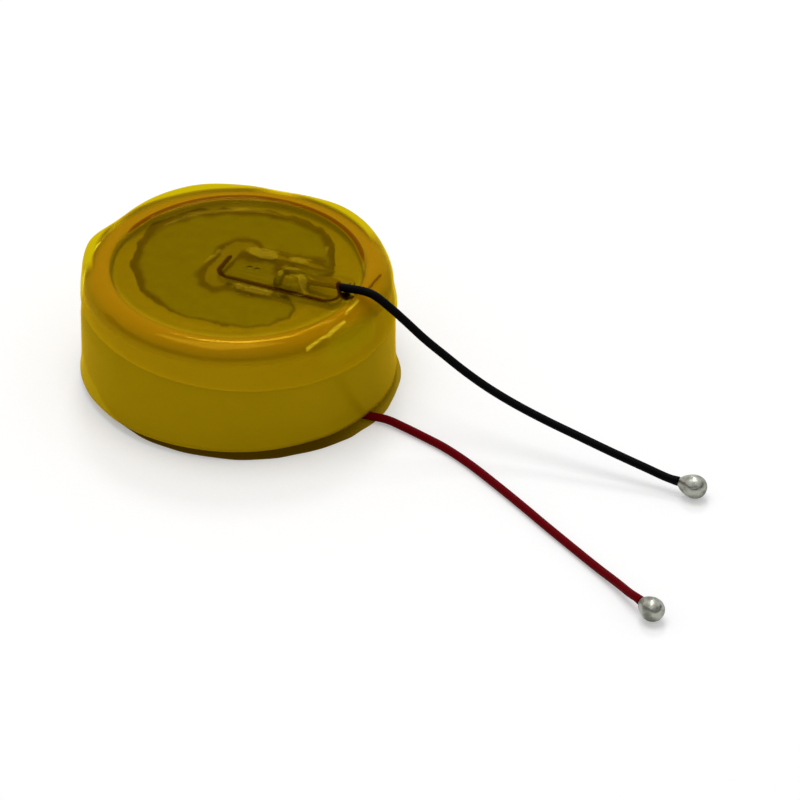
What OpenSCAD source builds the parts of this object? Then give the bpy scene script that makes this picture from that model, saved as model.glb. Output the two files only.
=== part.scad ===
// Round lithium-ion coin cell, negative face up, wrapped in amber film,
// with a welded nickel strip and an insulated lead at each pole.
// Millimetres, +Z up. The origin is on the surface that the cell rests on,
// under the cell's axis. The leads run towards +X and -Y.

/* [Cell] */
// Outside diameter of the bare steel cell
can_d = 16.1; // [15:0.1:20]
// Height of the bare steel cell
cell_h = 5.4; // [4.8:0.1:7]
// Sheet thickness of the can and the cap
steel_t = 0.2; // [0.15:0.01:0.25]
// Outside radius where the can wall turns into its bottom
foot_r = 0.5; // [0.35:0.05:0.8]
// Outside radius where the can mouth is rolled over the gasket
crimp_r = 1; // [0.8:0.05:1.05]
// Flat width of the rolled rim inside that radius
crimp_lip = 0.05; // [0:0.01:0.1]
// How far the can wall leans in towards its rolled mouth
neck_in = 0.2; // [0.1:0.01:0.24]
// Height of the leaning stretch of the wall
neck_h = 1.5; // [1:0.1:2.4]
// Depth of the cap's face below the rolled rim
cap_recess = 0.15; // [0:0.01:0.25]
// Distance from the can's outside to the edge of the cap's raised face
cap_inset = 1.45; // [1.35:0.05:1.8]
// Height of the step from the cap's face to its shoulder
cap_step = 0.5; // [0.45:0.05:0.6]
// Thickness of the gasket's foot under the cap
gasket_t = 0.25; // [0.2:0.01:0.3]
// Wall thickness of the gasket where the rolled mouth squeezes it against the cap
squeezed_t = 0.2; // [0.18:0.01:0.26]

/* [Inside] */
// Height of free space that the wound electrodes leave under the cap's shoulder
winding_room = 0.2; // [0.15:0.05:0.6]
// Diameter of the hollow core of the winding
core_hole_d = 1.8; // [1:0.1:3]
// Thickness of each insulating disc
disc_t = 0.1; // [0.08:0.01:0.14]
// Width of the foil tabs inside
foil_w = 2.4; // [1.5:0.1:3.5]
// Thickness of the foil tabs inside
foil_t = 0.08; // [0.05:0.01:0.1]
// Distance of the foil tabs' upright legs from the axis
foil_x = 3.2; // [2:0.1:5]

/* [Film] */
// Thickness of the wrapping film
film_t = 0.06; // [0.05:0.01:0.08]
// How far the side sleeve hangs below the can
sleeve_hang = 0.48; // [0.2:0.02:0.5]
// Height of the can's bottom above the surface
stand_off = 1; // [0.95:0.05:1.3]
// How far the sleeve's turned-in lip reaches in from the can's outside
lip_w = 1.45; // [1.2:0.05:1.6]
// How far the covering film, laid flat, reaches past the can all round
cover_margin = 1.28; // [1.1:0.02:2]
// How far the covering film sits off the axis
cover_shift = 0.62; // [0:0.02:0.8]
// Width of the ring beside the lip where the covering film isn't stuck to the cap
loose_w = 1.3; // [1:0.05:2]
// How far the loose film disc under the cell is larger than the can, in radius
foot_margin = 0; // [-0.5:0.05:1]

/* [Strips and leads] */
// Width of the nickel strips
strip_w = 2.6; // [1.5:0.1:3]
// Length of the nickel strips
strip_l = 6.5; // [5.6:0.1:7]
// Thickness of the nickel strips
strip_t = 0.15; // [0.1:0.01:0.2]
// Outside diameter of the leads
wire_d = 0.44; // [0.36:0.02:0.5]
// Diameter of the tinned strands that leave each lead
strand_d = 0.28; // [0.2:0.02:0.32]
// Length of the bare strands that leave each lead
bare_l = 3.3; // [3:0.1:3.6]
// Diameter of the solder pool on each strip
pool_d = 1.9; // [1.6:0.1:2.2]
// Height of the solder pool above the upper strip
pool_h = 0.5; // [0.4:0.02:0.6]
// Diameter of the solder bead on each lead's end
bead_d = 1.34; // [1:0.02:1.6]
// Length of the solder beads
bead_l = 1.6; // [1.2:0.05:2]

/* [Hidden] */

$fn = 96;
can_r = can_d / 2;
// Clearance between round pieces that fit in each other
fit = 0.02;
// Segments of each rounded corner in a profile
arc_steps = 6;

// Heights of the cell, from the surface up
can_z = stand_off;
rim_z = can_z + cell_h;
cap_z = rim_z - cap_recess;
floor_z = can_z + steel_t;
shoulder_z = cap_z - cap_step;
neck_top = rim_z - crimp_r;
neck_z = neck_top - neck_h;

// Radii of the cell, from outside in
rim_flat_r = can_r - neck_in - crimp_r;
mouth_r = rim_flat_r - crimp_lip;
gasket_r = can_r - steel_t - fit;
cap_r = gasket_r - neck_in - squeezed_t - fit;
cap_in_r = cap_r - steel_t;
cap_face_r = can_r - cap_inset;

// Radii and heights of the film
sleeve_in_r = can_r + fit;
sleeve_r = sleeve_in_r + film_t;
sleeve_top = rim_z + fit + film_t;
skirt_r = sleeve_r + fit;
brow_r = skirt_r - neck_in;
lip_r = can_r - lip_w;
stuck_r = lip_r - loose_w;
cover_z = sleeve_top + fit;
foot_shift = [0.4, -0.25];
cover_dir = -45;

// Each strip lies in this direction, beside the axis by its own offset. Its outer
// end keeps a gap to the edge of the face that it is welded to.
strip_dir = -24.4;
upper_offset = 0.26;
lower_offset = -1.47;
function strip_reach(face_r, gap, offset) = sqrt((face_r - gap) ^ 2 - (abs(offset) + strip_w / 2) ^ 2);
upper_reach = strip_reach(cap_face_r, 0.35, upper_offset);
lower_reach = strip_reach(can_r - foot_r, 0.58, lower_offset);
strip_top = cap_z + strip_t;
strip_low = can_z - strip_t;

// Routes of the lead centrelines. Near the cell their heights follow the strips.
negative_route = [
    [5.35, -2.65, strip_top + 0.54], [5.85, -2.89, strip_top + 0.6],
    [6.35, -3.13, strip_top + 0.66], [6.85, -3.38, strip_top + 0.64],
    [7.3, -3.6, strip_top + 0.46], [8, -3.93, strip_top - 0.02],
    [8.7, -4.27, 5.85], [9.65, -4.72, 5.1], [10.7, -5.24, 4.42], [11.7, -5.74, 3.8],
    [12.85, -6.32, 3.21], [14.2, -7, 2.68], [15.75, -7.76, 2.2], [17.4, -8.6, 1.8],
    [19.1, -9.44, 1.38], [20.8, -10.28, 1], [21.9, -10.83, 0.76], [22.5, -11.13, 0.72]];
positive_route = [
    [4.9, -3.85, strip_low - 0.43], [5.4, -4.07, strip_low - 0.47],
    [6.1, -4.34, 0.31], [6.9, -4.61, 0.3], [7.7, -4.92, 0.29], [8.5, -5.5, 0.26],
    [9.5, -6.33, 0.23], [10.7, -7.45, 0.23], [12, -9, 0.23], [13.4, -10.95, 0.23],
    [14.6, -12.7, 0.23], [15.7, -14.35, 0.23], [17.1, -16.4, 0.23], [18.3, -18.2, 0.28],
    [19.2, -19.6, 0.4], [19.8, -20.7, 0.56], [20.15, -21.25, 0.65], [20.4, -21.6, 0.66]];
// Room that the covering film leaves around the lead where it pierces it
lead_room = 0.03;
wire_sides = 8;

// Points of an arc, from angle a to angle b
function arc(x, z, r, a, b) =
    [for (i = [0:arc_steps]) let (t = a + (b - a) * i / arc_steps) [x + r * cos(t), z + r * sin(t)]];

function unit(v) = v / norm(v);
function clamp(x) = min(1, max(0, x));
function ease(x) = let (t = clamp(x)) t * t * (3 - 2 * t);

// Places a strip's own frame: X runs out along the strip to its end at x = 0, Z up
module along_strip(reach, offset, z) {
    rotate([0, 0, strip_dir]) translate([reach, offset, z]) children();
}

// Turns +Z onto a direction
module aim(at, dir) {
    d = unit(dir);
    translate(at) rotate([0, acos(d[2]), atan2(d[1], d[0])]) children();
}

// Where the bare strands of a lead end, and the middle of the solder around them
solder_overlap = 0.45;
function strands_end(route, back = 0) = route[0] + unit(route[0] - route[1]) * (bare_l - back);
function pool_at(route, z) =
    let (p = strands_end(route, solder_overlap)) [p[0], p[1], z];

// Tube swept along a route, one ring of points at each point of the route
module sweep(route, r) {
    n = len(route);
    tangents = [for (i = [0:n - 1]) unit(route[min(i + 1, n - 1)] - route[max(i - 1, 0)])];
    rings = [for (i = [0:n - 1])
        let (t = tangents[i], side = unit(cross([0, 0, 1], t)), top = cross(t, side))
        for (k = [0:wire_sides - 1])
            let (a = 360 * (k + 0.5) / wire_sides)
            route[i] + r * (cos(a) * side + sin(a) * top)];
    walls = [for (i = [0:n - 2], k = [0:wire_sides - 1])
        let (m = (k + 1) % wire_sides, a = i * wire_sides, b = a + wire_sides)
        each [[a + k, b + k, b + m], [a + k, b + m, a + m]]];
    caps = [[for (k = [0:wire_sides - 1]) k],
        [for (k = [wire_sides - 1:-1:0]) (n - 1) * wire_sides + k]];
    polyhedron(rings, concat(walls, caps), convexity = 4);
}

// Drawn steel cup with its mouth rolled inwards over the gasket
module positive_can() {
    inner_foot = foot_r - steel_t;
    inner_crimp = crimp_r - steel_t;
    color("silver") rotate_extrude() polygon(concat(
        [[0, can_z]],
        arc(can_r - foot_r, can_z + foot_r, foot_r, -90, 0),
        [[can_r, neck_z]],
        arc(rim_flat_r, neck_top, crimp_r, 0, 90),
        [[mouth_r, rim_z], [mouth_r, rim_z - steel_t]],
        arc(rim_flat_r, neck_top, inner_crimp, 90, 0),
        [[can_r - steel_t, neck_z]],
        arc(can_r - foot_r, can_z + foot_r, inner_foot, 0, -90),
        [[0, floor_z]]));
}

// Moulded ring that seals and insulates the cap inside the can
module sealing_gasket() {
    foot_in = cap_in_r - 0.2;
    inner_foot = foot_r - steel_t - fit;
    inner_crimp = crimp_r - steel_t - fit;
    top = rim_z - steel_t - fit;
    color("#d8d4c4") rotate_extrude() difference() {
        polygon(concat(
            [[foot_in, floor_z]],
            arc(can_r - foot_r, can_z + foot_r, inner_foot, -90, 0),
            [[gasket_r, neck_z]],
            arc(rim_flat_r, neck_top, inner_crimp, 0, 90),
            [[cap_face_r + fit, top], [cap_face_r + fit, shoulder_z + fit]],
            [[foot_in, shoulder_z + fit]]));
        translate([foot_in - 1, floor_z + gasket_t])
            square([cap_r + fit - foot_in + 1, shoulder_z + fit - floor_z - gasket_t]);
    }
}

// Stepped cup that closes the cell and is its negative pole
module negative_cap() {
    r_out = 0.25;
    skirt_z = floor_z + gasket_t + fit;
    color("gainsboro") rotate_extrude() polygon(concat(
        [[0, cap_z]],
        arc(cap_face_r - r_out, cap_z - r_out, r_out, 90, 0),
        [[cap_face_r, shoulder_z]],
        arc(cap_r - r_out, shoulder_z - r_out, r_out, 90, 0),
        [[cap_r, skirt_z], [cap_in_r, skirt_z]],
        [[cap_in_r, shoulder_z - steel_t]],
        [[cap_face_r - steel_t, shoulder_z - steel_t]],
        [[cap_face_r - steel_t, cap_z - steel_t], [0, cap_z - steel_t]]));
}

winding_z = floor_z + foil_t + disc_t + 2 * fit;
winding_top = shoulder_z - steel_t - winding_room;
winding_r = cap_in_r - 0.2;

// Wound electrodes and separator, one solid around a hollow core
module electrode_winding() {
    color("dimgray") difference() {
        translate([0, 0, winding_z]) cylinder(r = winding_r, h = winding_top - winding_z);
        translate([0, 0, winding_z - 1]) cylinder(d = core_hole_d, h = winding_top - winding_z + 2);
    }
}

// Disc with a centre hole and a slot for a foil tab's upright leg
module insulator(z, slot_x) {
    color("white") difference() {
        translate([0, 0, z]) cylinder(r = winding_r, h = disc_t);
        translate([0, 0, z - 1]) cylinder(d = core_hole_d, h = disc_t + 2);
        translate([slot_x - 2 * foil_t, -foil_w / 2 - fit, z - 1])
            cube([4 * foil_t, foil_w + 2 * fit, disc_t + 2]);
    }
}

module lower_insulator() insulator(winding_z - disc_t, -foil_x);
module upper_insulator() insulator(winding_top, foil_x);

// Foil strip: one leg stands on the winding, the other lies against the steel
module foil(x, z_winding, z_weld) {
    low = min(z_winding, z_weld);
    high = max(z_winding, z_weld);
    z_flat = z_weld > z_winding ? high - foil_t : low;
    s = sign(x);
    translate([0, foil_w / 2, 0]) rotate([90, 0, 0]) linear_extrude(foil_w) union() {
        translate([x - foil_t / 2, low]) square([foil_t, high - low]);
        translate([min(x + s * foil_t / 2, 0), z_flat]) square([abs(x) + foil_t / 2, foil_t]);
    }
}

module cathode_foil_tab() color("lightgray") foil(-foil_x, winding_z, floor_z);
module anode_foil_tab() color("tan") foil(foil_x, winding_top, cap_z - steel_t);

// Shrunk tube around the can, with its upper edge turned in over the rim
module side_sleeve() {
    in_r = crimp_r + fit;
    out_r = in_r + film_t;
    color("#b08c10", 0.8) rotate_extrude() polygon(concat(
        [[sleeve_in_r, can_z - sleeve_hang], [sleeve_r, can_z - sleeve_hang], [sleeve_r, neck_z]],
        arc(rim_flat_r, neck_top, out_r, 0, 90),
        [[lip_r, sleeve_top], [lip_r, sleeve_top - film_t]],
        arc(rim_flat_r, neck_top, in_r, 90, 0),
        [[sleeve_in_r, neck_z]]));
}

// Loose disc of film under the cell
module bottom_film() {
    color("#8a6a10", 0.8) translate([foot_shift[0], foot_shift[1], 0])
        cylinder(r = can_r + foot_margin, h = film_t);
}

// Covering film: how it stands over what lies on the cap. Over the strip it is a
// flat-topped tent and over the solder a dome. Over the strands and the lead, and
// along the creases that the lead pulls in it, it is a ridge. Each of them is 1
// on the piece and eases to 0 beside it.
function strip_frame(x, y) =
    let (c = cos(strip_dir), s = sin(strip_dir))
    [x * c + y * s - upper_reach, -x * s + y * c - upper_offset];
function strip_tent(p) =
    ease(1 - (abs(p[1]) - strip_w / 2 - 0.35) / 0.7)
    * ease(1 + (p[0] + strip_l + 0.35) / 0.7) * ease(1 - (p[0] - 0.35) / 0.7);
upper_pool = pool_at(negative_route, strip_top);
function pool_tent(x, y) = ease(1.25 - norm([x - upper_pool[0], y - upper_pool[1]]) / (pool_d * 0.95));

// Each ridge runs straight from one crest point to another, and has a half width.
// The creases run from the lead's way out to the rim, at these angles.
exit_at = negative_route[2];
over_wire = [0, 0, wire_d / 2 + lead_room + 0.04];
crease_r = rim_flat_r + 0.1;
left_crease = -58.5;
right_crease = -5;
ridges = [
    [strands_end(negative_route) + over_wire, exit_at + over_wire, 1.1],
    [exit_at + over_wire, [crease_r * cos(left_crease), crease_r * sin(left_crease), cover_z + 0.05], 0.8],
    [exit_at + over_wire, [crease_r * cos(right_crease), crease_r * sin(right_crease), cover_z + 0.02], 0.6]];
function ridge_lift(x, y, base, ridge) =
    let (a = ridge[0], b = ridge[1], run = [b[0] - a[0], b[1] - a[1]],
        t = clamp((x - a[0]) * run[0] / (run * run) + (y - a[1]) * run[1] / (run * run)),
        off = norm([x - a[0] - t * run[0], y - a[1] - t * run[1]]))
    (a[2] + t * (b[2] - a[2]) - base) * ease(1.25 - off / ridge[2]);

// Height of the film's underside at a radius and an angle, inside the rim
function film_floor(r) =
    cap_z + fit + (cover_z - cap_z - fit) * ease((r - stuck_r) / loose_w);
function film_under(r, a) =
    let (x = r * cos(a), y = r * sin(a), p = strip_frame(x, y), base = film_floor(r),
        inside = ease((lip_r + 0.6 - r) / 1.2),
        over_strip = inside * (strip_t + fit) * strip_tent(p),
        over_pool = (pool_h - strip_t + 0.18) * pool_tent(x, y))
    base + max(concat([over_strip + over_pool], [for (ridge = ridges) ridge_lift(x, y, base, ridge)]));

// Corner radius where the film turns down: it stands off as a brim behind and at the left
function turn(a, b) = abs(((a - b + 540) % 360) - 180);
function bump(a, centre, half) = ease(1 - turn(a, centre) / half);
function corner(a) =
    let (full = crimp_r + fit + film_t + fit)
    full * (0.88 - 0.54 * bump(a, 102, 26) - 0.6 * bump(a, 172, 38) + 0.05 * bump(a, 74, 16));
// Length of the straight skirt left over at an angle, once the film has turned down
function skirt(a) =
    can_r + cover_margin + cover_shift * cos(a - cover_dir) - (brow_r - corner(a)) - corner(a) * PI / 2;
// Radius of the skirt at a height, beside the leaning wall
function skirt_at(z) = skirt_r - neck_in * clamp((z - neck_z) / neck_h);

// One spoke of the film as [radius, height, normal], from the middle to the skirt's edge
turn_steps = 4;
flat_radii = [0.12, 0.23, 0.34, 0.44, 0.54, 0.63, 0.72, 0.8, 0.87, 0.94];
function spoke(a) =
    let (c = corner(a), r_turn = brow_r - c, z_turn = cover_z - c, z_end = z_turn - skirt(a))
    concat(
        [for (f = flat_radii) let (r = f * rim_flat_r) [r, film_under(r, a), [0, 1]]],
        [for (i = [0:turn_steps]) let (t = 90 - 90 * i / turn_steps,
            lift = (film_under(r_turn, a) - cover_z) * ease(1 - 1.5 * i / turn_steps))
            [r_turn + c * cos(t), z_turn + c * sin(t) + lift, [cos(t), sin(t)]]],
        [[skirt_at(z_end), z_end, [1, 0]]]);

// Angles of the spokes, closer together about the lead's way out
exit_dir = atan2(exit_at[1], exit_at[0]);
spoke_angles = concat(
    [for (i = [0:18]) exit_dir - 44 + 4 * i],
    [for (i = [1:47]) exit_dir + 28 + 6 * i]);

module film_cover() {
    spokes = [for (a = spoke_angles) spoke(a)];
    n = len(spoke_angles);
    m = len(spokes[0]);
    under = [for (i = [0:n - 1]) for (p = spokes[i])
        [p[0] * cos(spoke_angles[i]), p[0] * sin(spoke_angles[i]), p[1]]];
    over = [for (i = [0:n - 1]) for (p = spokes[i])
        let (r = p[0] + film_t * p[2][0])
        [r * cos(spoke_angles[i]), r * sin(spoke_angles[i]), p[1] + film_t * p[2][1]]];
    middle = film_under(0, 0);
    points = concat(under, over, [[0, 0, middle], [0, 0, middle + film_t]]);
    k = n * m;
    faces = concat(
        [for (i = [0:n - 1], j = [0:m - 2]) let (a = i * m + j, b = ((i + 1) % n) * m + j)
            each [[a, a + 1, b + 1], [a, b + 1, b],
                [k + a, k + b + 1, k + a + 1], [k + a, k + b, k + b + 1]]],
        [for (i = [0:n - 1]) let (a = i * m, b = ((i + 1) % n) * m)
            each [[2 * k, a, b], [2 * k + 1, k + b, k + a]]],
        [for (i = [0:n - 1]) let (a = i * m + m - 1, b = ((i + 1) % n) * m + m - 1)
            each [[a, k + a, k + b], [a, k + b, b]]]);
    polyhedron(points, faces, convexity = 10);
}

module top_film() {
    color("#c8a010", 0.8) difference() {
        film_cover();
        sweep(negative_route, wire_d / 2 + lead_room);
    }
}

// Nickel strip with clipped corners and a pair of weld pits near its free end
module strip(pits_on_top) {
    cut = 0.25;
    half = strip_w / 2;
    pit_d = 0.34;
    pit_depth = 0.04;
    pit_z = pits_on_top ? strip_t - pit_depth : pit_depth - 1;
    color("lightsteelblue") difference() {
        linear_extrude(strip_t) polygon([
            [-strip_l + cut, -half], [-cut, -half], [0, -half + cut], [0, half - cut],
            [-cut, half], [-strip_l + cut, half], [-strip_l, half - cut], [-strip_l, -half + cut]]);
        for (from_end = [1, 1.42])
            translate([from_end - strip_l, 0, pit_z]) cylinder(d = pit_d, h = 1, $fn = 24);
    }
}

module negative_strip() along_strip(upper_reach, upper_offset, cap_z) strip(true);
module positive_strip() along_strip(lower_reach, lower_offset, strip_low) strip(false);

// Domed pool of solder, wetted out at its foot
module pool(h) {
    r = pool_d / 2;
    rotate_extrude($fn = 48) polygon([[0, 0], [r, 0], [r * 0.93, h * 0.22], [r * 0.8, h * 0.52],
        [r * 0.62, h * 0.8], [r * 0.4, h * 0.95], [r * 0.2, h], [0, h]]);
}

// Bare strands, tinned into one round wire, in line with the lead's first stretch
module strands(route) {
    color("#b06a3a") aim(route[0], route[0] - route[1]) cylinder(d = strand_d, h = bare_l, $fn = 24);
}

module negative_strands() strands(negative_route);
module positive_strands() strands(positive_route);

module negative_solder() {
    color("#b8bac0") difference() {
        translate(upper_pool) pool(pool_h);
        negative_strands();
    }
}

module positive_solder() {
    color("#b8bac0") difference() {
        translate(pool_at(positive_route, strip_low)) mirror([0, 0, 1]) pool(strip_low - film_t);
        positive_strands();
    }
}

module negative_lead() color("#101010") sweep(negative_route, wire_d / 2);
module positive_lead() color("#700010") sweep(positive_route, wire_d / 2);

// Drop of solder on a lead's end: an ellipse turned about the lead, cut flat at its neck
module bead(route) {
    last = len(route) - 1;
    neck = asin(wire_d / bead_d);
    steps = 10;
    sink = bead_l / 2 * cos(neck);
    profile = [for (i = [0:steps]) let (t = neck + (180 - neck) * i / steps)
        [bead_d / 2 * sin(t), sink - bead_l / 2 * cos(t)]];
    color("#8f8d85") aim(route[last], route[last] - route[last - 1])
        rotate_extrude($fn = 48) polygon(concat([[0, 0]], profile));
}

module negative_bead() bead(negative_route);
module positive_bead() bead(positive_route);

bottom_film();
side_sleeve();
top_film();
positive_can();
sealing_gasket();
negative_cap();
electrode_winding();
lower_insulator();
upper_insulator();
cathode_foil_tab();
anode_foil_tab();
negative_strip();
negative_solder();
negative_strands();
negative_lead();
negative_bead();
positive_strip();
positive_solder();
positive_strands();
positive_lead();
positive_bead();
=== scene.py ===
# %% [markdown]
# # A wrapped coin cell with two flying leads
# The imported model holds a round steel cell, its strips and what is inside it. This
# notebook gives those pieces their metals and plastics. What is thin, soft or melted
# on the real object is made again here, finer than a solid model needs: the amber
# films, the leads with their bare strands, and the solder. Each of these takes the
# place of its own node, so the sizes stay the ones that were packed.

# %% Load the frame
import math

import bpy
import numpy as np
from mathutils import Matrix, Vector, noise


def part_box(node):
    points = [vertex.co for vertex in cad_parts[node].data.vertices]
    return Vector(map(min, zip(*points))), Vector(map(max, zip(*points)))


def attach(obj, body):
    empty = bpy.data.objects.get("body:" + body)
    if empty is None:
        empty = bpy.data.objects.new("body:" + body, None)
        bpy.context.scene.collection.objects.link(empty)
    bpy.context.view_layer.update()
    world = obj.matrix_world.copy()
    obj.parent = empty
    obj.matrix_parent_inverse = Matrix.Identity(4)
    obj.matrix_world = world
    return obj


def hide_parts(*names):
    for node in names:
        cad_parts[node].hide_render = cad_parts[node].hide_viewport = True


MM = 0.001
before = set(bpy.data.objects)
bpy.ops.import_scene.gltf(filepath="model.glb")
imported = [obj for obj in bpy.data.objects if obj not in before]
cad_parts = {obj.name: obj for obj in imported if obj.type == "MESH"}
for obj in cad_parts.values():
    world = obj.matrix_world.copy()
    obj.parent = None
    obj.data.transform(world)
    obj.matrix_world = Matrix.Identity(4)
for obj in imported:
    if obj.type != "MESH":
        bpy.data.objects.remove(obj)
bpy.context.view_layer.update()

# %% [markdown]
# ## The camera
# The photograph looks down at the cell from a third of a right angle, with a long
# lens, so that the round rim is a clean ellipse and nothing flares towards the eye.
# The aim point is written as a place beside the cell, because both leads run off to
# the right and the picture is centred on the whole.

# %% The camera
VIEW_ELEVATION = math.radians(34.02)
CAMERA_DISTANCE = 490.8 * MM
AIM = Vector((8.352, -1.080, -1.080)) * MM
LENS, SENSOR = 426.3, 36  # as a camera states them, in mm


def new_object(name, data):
    """An object that holds the data, in the scene."""
    holder = bpy.data.objects.new(name, data)
    bpy.context.scene.collection.objects.link(holder)
    return holder


view_line = Vector((0, math.cos(VIEW_ELEVATION), -math.sin(VIEW_ELEVATION)))
camera = new_object("camera", bpy.data.cameras.new("camera"))
camera.data.lens, camera.data.sensor_width = LENS, SENSOR
camera.data.clip_start = 10 * MM
camera.location = AIM - view_line * CAMERA_DISTANCE
camera.rotation_euler = (math.pi / 2 - VIEW_ELEVATION, 0, 0)
bpy.context.scene.camera = camera
print("camera, mm:", [round(v / MM, 1) for v in camera.location])

# %% [markdown]
# ## Small helpers for nodes
# Shaders and shapes are both node trees, so one helper adds any node: its settings
# are keywords, and its sockets take a constant or another node's output. Colours are
# written as the hex values that a screen shows, and turned to linear light once.

# %% Small helpers for nodes
def add(tree, kind, sockets=None, **settings):
    """Adds a node. Each socket is given a constant, an output, or a node for its first output."""
    node = tree.nodes.new(kind)
    for name, value in settings.items():
        setattr(node, name, value)
    for name, value in (sockets or {}).items():
        if isinstance(value, bpy.types.Node):
            value = value.outputs[0]
        if isinstance(value, bpy.types.NodeSocket):
            tree.links.new(value, node.inputs[name])
        else:
            node.inputs[name].default_value = value
    return node


def colour(hex_value):
    """Linear RGBA of an sRGB colour such as #c8a010."""
    parts = [int(hex_value[i:i + 2], 16) / 255 for i in (1, 3, 5)]
    linear = [p / 12.92 if p <= 0.04045 else ((p + 0.055) / 1.055) ** 2.4 for p in parts]
    return (*linear, 1)


def box_mm(node):
    """Lowest and highest corner of a node, in millimetres."""
    return [np.array(corner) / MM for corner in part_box(node)]


print("amber in linear light:", [round(v, 3) for v in colour("#c8a010")])

# %% [markdown]
# ## Sizes
# The frame gives what the pieces measure, so nothing here can drift away from the
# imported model. Where the covering film folds and stands proud, its rule is the part's
# own rule, and the few sizes that it needs beside the frame's are named here, in
# millimetres as everywhere in this notebook.

# %% Sizes
can_low, can_high = box_mm("positive_can")
can_r, can_z, rim_z = can_high[0], can_low[2], can_high[2]
cap_z = box_mm("negative_cap")[1][2]
sleeve_low, sleeve_high = box_mm("side_sleeve")
sleeve_r, sleeve_z, sleeve_top = sleeve_high[0], sleeve_low[2], sleeve_high[2]
film_t = box_mm("bottom_film")[1][2]
FIT = 0.02
CRIMP_R, NECK_IN, NECK_H, LIP_W = 1.0, 0.2, 1.5, 1.45
lip_r = can_r - LIP_W
neck_top = rim_z - CRIMP_R
neck_z = neck_top - NECK_H
rim_flat_r = can_r - NECK_IN - CRIMP_R

STRIP_W, STRIP_L, STRIP_T = 2.6, 6.5, 0.15
STRIP_DIR = math.radians(-24.4)
UPPER_OFFSET, STRIP_GAP = 0.26, 0.35
upper_reach = math.sqrt((lip_r - STRIP_GAP) ** 2 - (UPPER_OFFSET + STRIP_W / 2) ** 2)
strip_top = cap_z + STRIP_T
strip_low = can_z - STRIP_T

WIRE_D, STRAND_BUNDLE_D, BARE_L = 0.44, 0.28, 3.3
POOL_D, POOL_H, SOLDER_OVERLAP = 1.9, 0.5, 0.45
BEAD_D, BEAD_L = 1.34, 1.6
print("can, rim, cap, film, mm:", [round(float(v), 3) for v in (can_r, rim_z, cap_z, film_t)])

# %% [markdown]
# ## The routes of the leads
# Each lead is a thin stranded wire with a soft jacket. It leaves its strip, bends over
# the rim or out from under the can, and runs straight enough to show that it has been
# pulled into place once. Only a list of chosen points can say that, and it is the same
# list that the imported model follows. Both leads are shorter than the 30 mm from which
# the frame takes a piece as a free cord, so they stay plain pieces.

# %% The routes of the leads
NEGATIVE_ROUTE = [
    (5.35, -2.65, 6.94), (5.85, -2.89, 7.0), (6.35, -3.13, 7.06), (6.85, -3.38, 7.04),
    (7.3, -3.6, 6.86), (8, -3.93, 6.38), (8.7, -4.27, 5.85), (9.65, -4.72, 5.1),
    (10.7, -5.24, 4.42), (11.7, -5.74, 3.8), (12.85, -6.32, 3.21), (14.2, -7, 2.68),
    (15.75, -7.76, 2.2), (17.4, -8.6, 1.8), (19.1, -9.44, 1.38), (20.8, -10.28, 1),
    (21.9, -10.83, 0.76), (22.5, -11.13, 0.72)]
POSITIVE_ROUTE = [
    (4.9, -3.85, 0.42), (5.4, -4.07, 0.38), (6.1, -4.34, 0.31), (6.9, -4.61, 0.3),
    (7.7, -4.92, 0.29), (8.5, -5.5, 0.26), (9.5, -6.33, 0.23), (10.7, -7.45, 0.23),
    (12, -9, 0.23), (13.4, -10.95, 0.23), (14.6, -12.7, 0.23), (15.7, -14.35, 0.23),
    (17.1, -16.4, 0.23), (18.3, -18.2, 0.28), (19.2, -19.6, 0.4), (19.8, -20.7, 0.56),
    (20.15, -21.25, 0.65), (20.4, -21.6, 0.66)]
LEADS = {"negative": [Vector(p) * MM for p in NEGATIVE_ROUTE],
         "positive": [Vector(p) * MM for p in POSITIVE_ROUTE]}


def bare_end(route, back=0.0):
    """Where the strands of a lead end, or a point that far back along them."""
    return route[0] + (route[0] - route[1]).normalized() * (BARE_L - back) * MM


for pole, route in LEADS.items():
    length = sum((b - a).length for a, b in zip(route, route[1:]))
    print(pole, "lead, mm:", round(length / MM, 1))

# %% [markdown]
# ## Growing shapes with Geometry Nodes
# A turned form, a swept tube and a twist of strands all follow a rule, so each is one
# node tree with named sizes. A tree could stay live on its object, but the packed
# table and the export want plain meshes. So the tree runs on a small source object,
# and the result is copied out of it and put in its place.

# %% Growing shapes with Geometry Nodes
def new_tree(name, **sizes):
    """A geometry tree with a material input and the named inputs, and its input node."""
    tree = bpy.data.node_groups.new(name, "GeometryNodeTree")
    kinds = {"Geometry": "Geometry", **sizes, "Material": "Material"}
    for label, kind in kinds.items():
        tree.interface.new_socket(label.replace("_", " "), in_out="INPUT", socket_type="NodeSocket" + kind)
    tree.interface.new_socket("Geometry", in_out="OUTPUT", socket_type="NodeSocketGeometry")
    return tree, tree.nodes.new("NodeGroupInput").outputs


def close_tree(tree, shape, inputs):
    """Ends a tree: smooth shading, real geometry, its material."""
    smooth = add(tree, "GeometryNodeSetShadeSmooth", {"Geometry": shape})
    real = add(tree, "GeometryNodeRealizeInstances", {"Geometry": smooth})
    painted = add(tree, "GeometryNodeSetMaterial", {"Geometry": real, "Material": inputs["Material"]})
    add(tree, "NodeGroupOutput", {"Geometry": painted})


def plain_copy(source, name, place):
    """The evaluated shape of an object as a plain mesh object of its own."""
    graph = bpy.context.evaluated_depsgraph_get()
    mesh = bpy.data.meshes.new_from_object(source.evaluated_get(graph), depsgraph=graph)
    bpy.data.objects.remove(source)
    mesh.name = name
    mesh.transform(place)
    print(name, "faces:", len(mesh.polygons))
    return new_object(name, mesh)


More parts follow.
